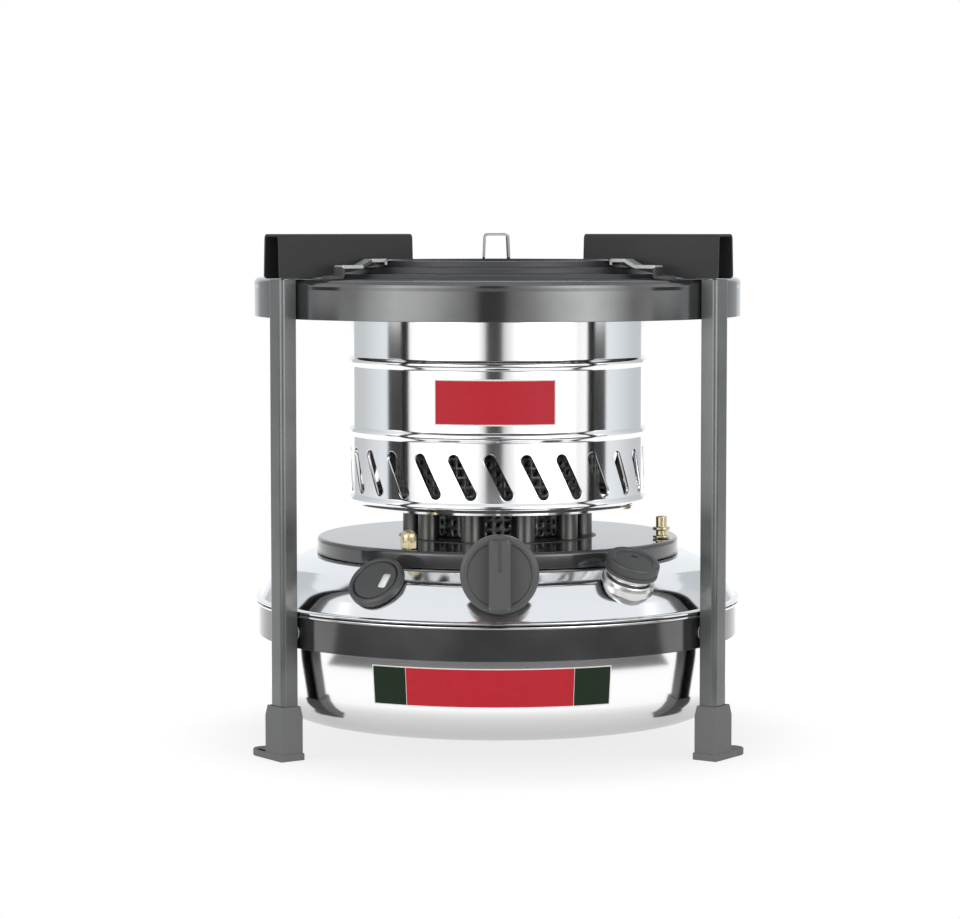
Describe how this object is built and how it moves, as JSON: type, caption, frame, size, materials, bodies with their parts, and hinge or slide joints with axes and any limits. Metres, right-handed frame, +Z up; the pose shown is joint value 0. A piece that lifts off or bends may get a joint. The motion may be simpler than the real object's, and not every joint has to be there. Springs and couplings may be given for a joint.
{
  "type": "kerosene wick stove",
  "caption": "Tabletop kerosene wick stove: polished tank with filler and gauge, slotted burner drum, wick knob and pan supports on a ring held by legs.",
  "frame": {"origin": "on the floor, in the middle of the stove's bounding box, which is the axis of its rings within 1 mm", "axes": "+Z up along the burner's axis, +Y from the wick knob at the front to the rear leg, +X to the right seen from the front"},
  "size_m": [0.2512, 0.2751, 0.2607],
  "materials": {
    "painted_grey": "semi-gloss grey paint",
    "grey_steel": "satin",
    "dark_steel": "dark satin",
    "bright_steel": "bright",
    "polished_steel": "mirror polished stainless steel",
    "black_enamel": "matt black enamel",
    "gloss_enamel": "gloss black enamel",
    "foot_plastic": "matt",
    "knob_plastic": "satin",
    "black_plastic": "satin",
    "clear_plastic": "clear",
    "brass": "bright",
    "rubber": "matt",
    "cork": "cork",
    "wick_cotton": "woven cotton"
  },
  "bodies": {
    "stove_frame": {"leg_left": "painted_grey", "foot_left": "foot_plastic", "pan_support_left": "black_enamel", "lug_left": "bright_steel", "rivet_left": "bright_steel", "deck_stud_left": "brass", "leg_right": "painted_grey", "foot_right": "foot_plastic", "pan_support_right": "black_enamel", "lug_right": "bright_steel", "rivet_right": "bright_steel", "deck_stud_right": "brass", "leg_rear": "painted_grey", "foot_rear": "foot_plastic", "pan_support_rear": "black_enamel", "lug_rear": "bright_steel", "rivet_rear": "bright_steel", "deck_stud_rear": "brass", "top_ring": "grey_steel", "tank_ring": "dark_steel", "heat_shield": "black_enamel", "tank_pan": "polished_steel", "tank_dome": "polished_steel", "filler_neck": "bright_steel", "gauge_body": "black_plastic", "gauge_lens": "clear_plastic", "gauge_bracket": "bright_steel", "deck_plate": "gloss_enamel", "wick_gallery": "dark_steel", "rack_housing": "dark_steel", "spindle_bracket": "dark_steel"},
    "burner_drum": {"casing": "polished_steel", "outer_spreader": "black_enamel", "inner_spreader": "black_enamel", "spreader_cap": "black_enamel", "cross_pin_front": "bright_steel", "cross_pin_right": "bright_steel", "cross_pin_left": "bright_steel"},
    "wick_knob": {"knob": "knob_plastic", "spindle": "bright_steel", "pinion": "brass"},
    "wick_lift": {"wick_carrier": "dark_steel", "rack": "brass", "wick_1": "wick_cotton", "wick_2": "wick_cotton", "wick_3": "wick_cotton", "wick_4": "wick_cotton", "wick_5": "wick_cotton", "wick_6": "wick_cotton", "wick_7": "wick_cotton", "wick_8": "wick_cotton", "wick_9": "wick_cotton", "wick_10": "wick_cotton"},
    "cap_seal_ring": {"cap_seal": "rubber"},
    "filler_cap_top": {"filler_cap": "black_plastic"},
    "gauge_arm": {"gauge_lever": "bright_steel", "gauge_float": "cork"}
  },
  "joints": [
    {"name": "drum_lift", "type": "slide", "parent": "stove_frame", "child": "burner_drum", "axis": [0, 0, 1], "range_m": [0, 0.006]},
    {"name": "wick_knob_turn", "type": "hinge", "parent": "stove_frame", "child": "wick_knob", "pos_m": [0, 0, 0.0983], "axis": [0, 1, 0], "range_deg": [0, 143.3]},
    {"name": "wick_carrier_lift", "type": "slide", "parent": "stove_frame", "child": "wick_lift", "axis": [0, 0, 1], "range_m": [0, 0.015]},
    {"name": "filler_cap_lift", "type": "slide", "parent": "stove_frame", "child": "cap_seal_ring", "axis": [0.2304, -0.3352, 0.9135], "range_m": [0, 0.0041]},
    {"name": "filler_cap_turn", "type": "hinge", "parent": "cap_seal_ring", "child": "filler_cap_top", "pos_m": [0.06315, -0.09189, 0.0904], "axis": [0.2304, -0.3352, 0.9135], "range_deg": [0, 720]},
    {"name": "gauge_float_swing", "type": "hinge", "parent": "stove_frame", "child": "gauge_arm", "pos_m": [-0.05155, -0.08249, 0.07527], "axis": [0.848, -0.5299, 0], "range_deg": [0, 40]}
  ],
  "couplings": [
    {"joint": "wick_knob_turn", "follows": "wick_carrier_lift", "rad_per_m": 166.67},
    {"joint": "filler_cap_lift", "follows": "filler_cap_turn", "m_per_rad": 0.00031831}
  ]
}
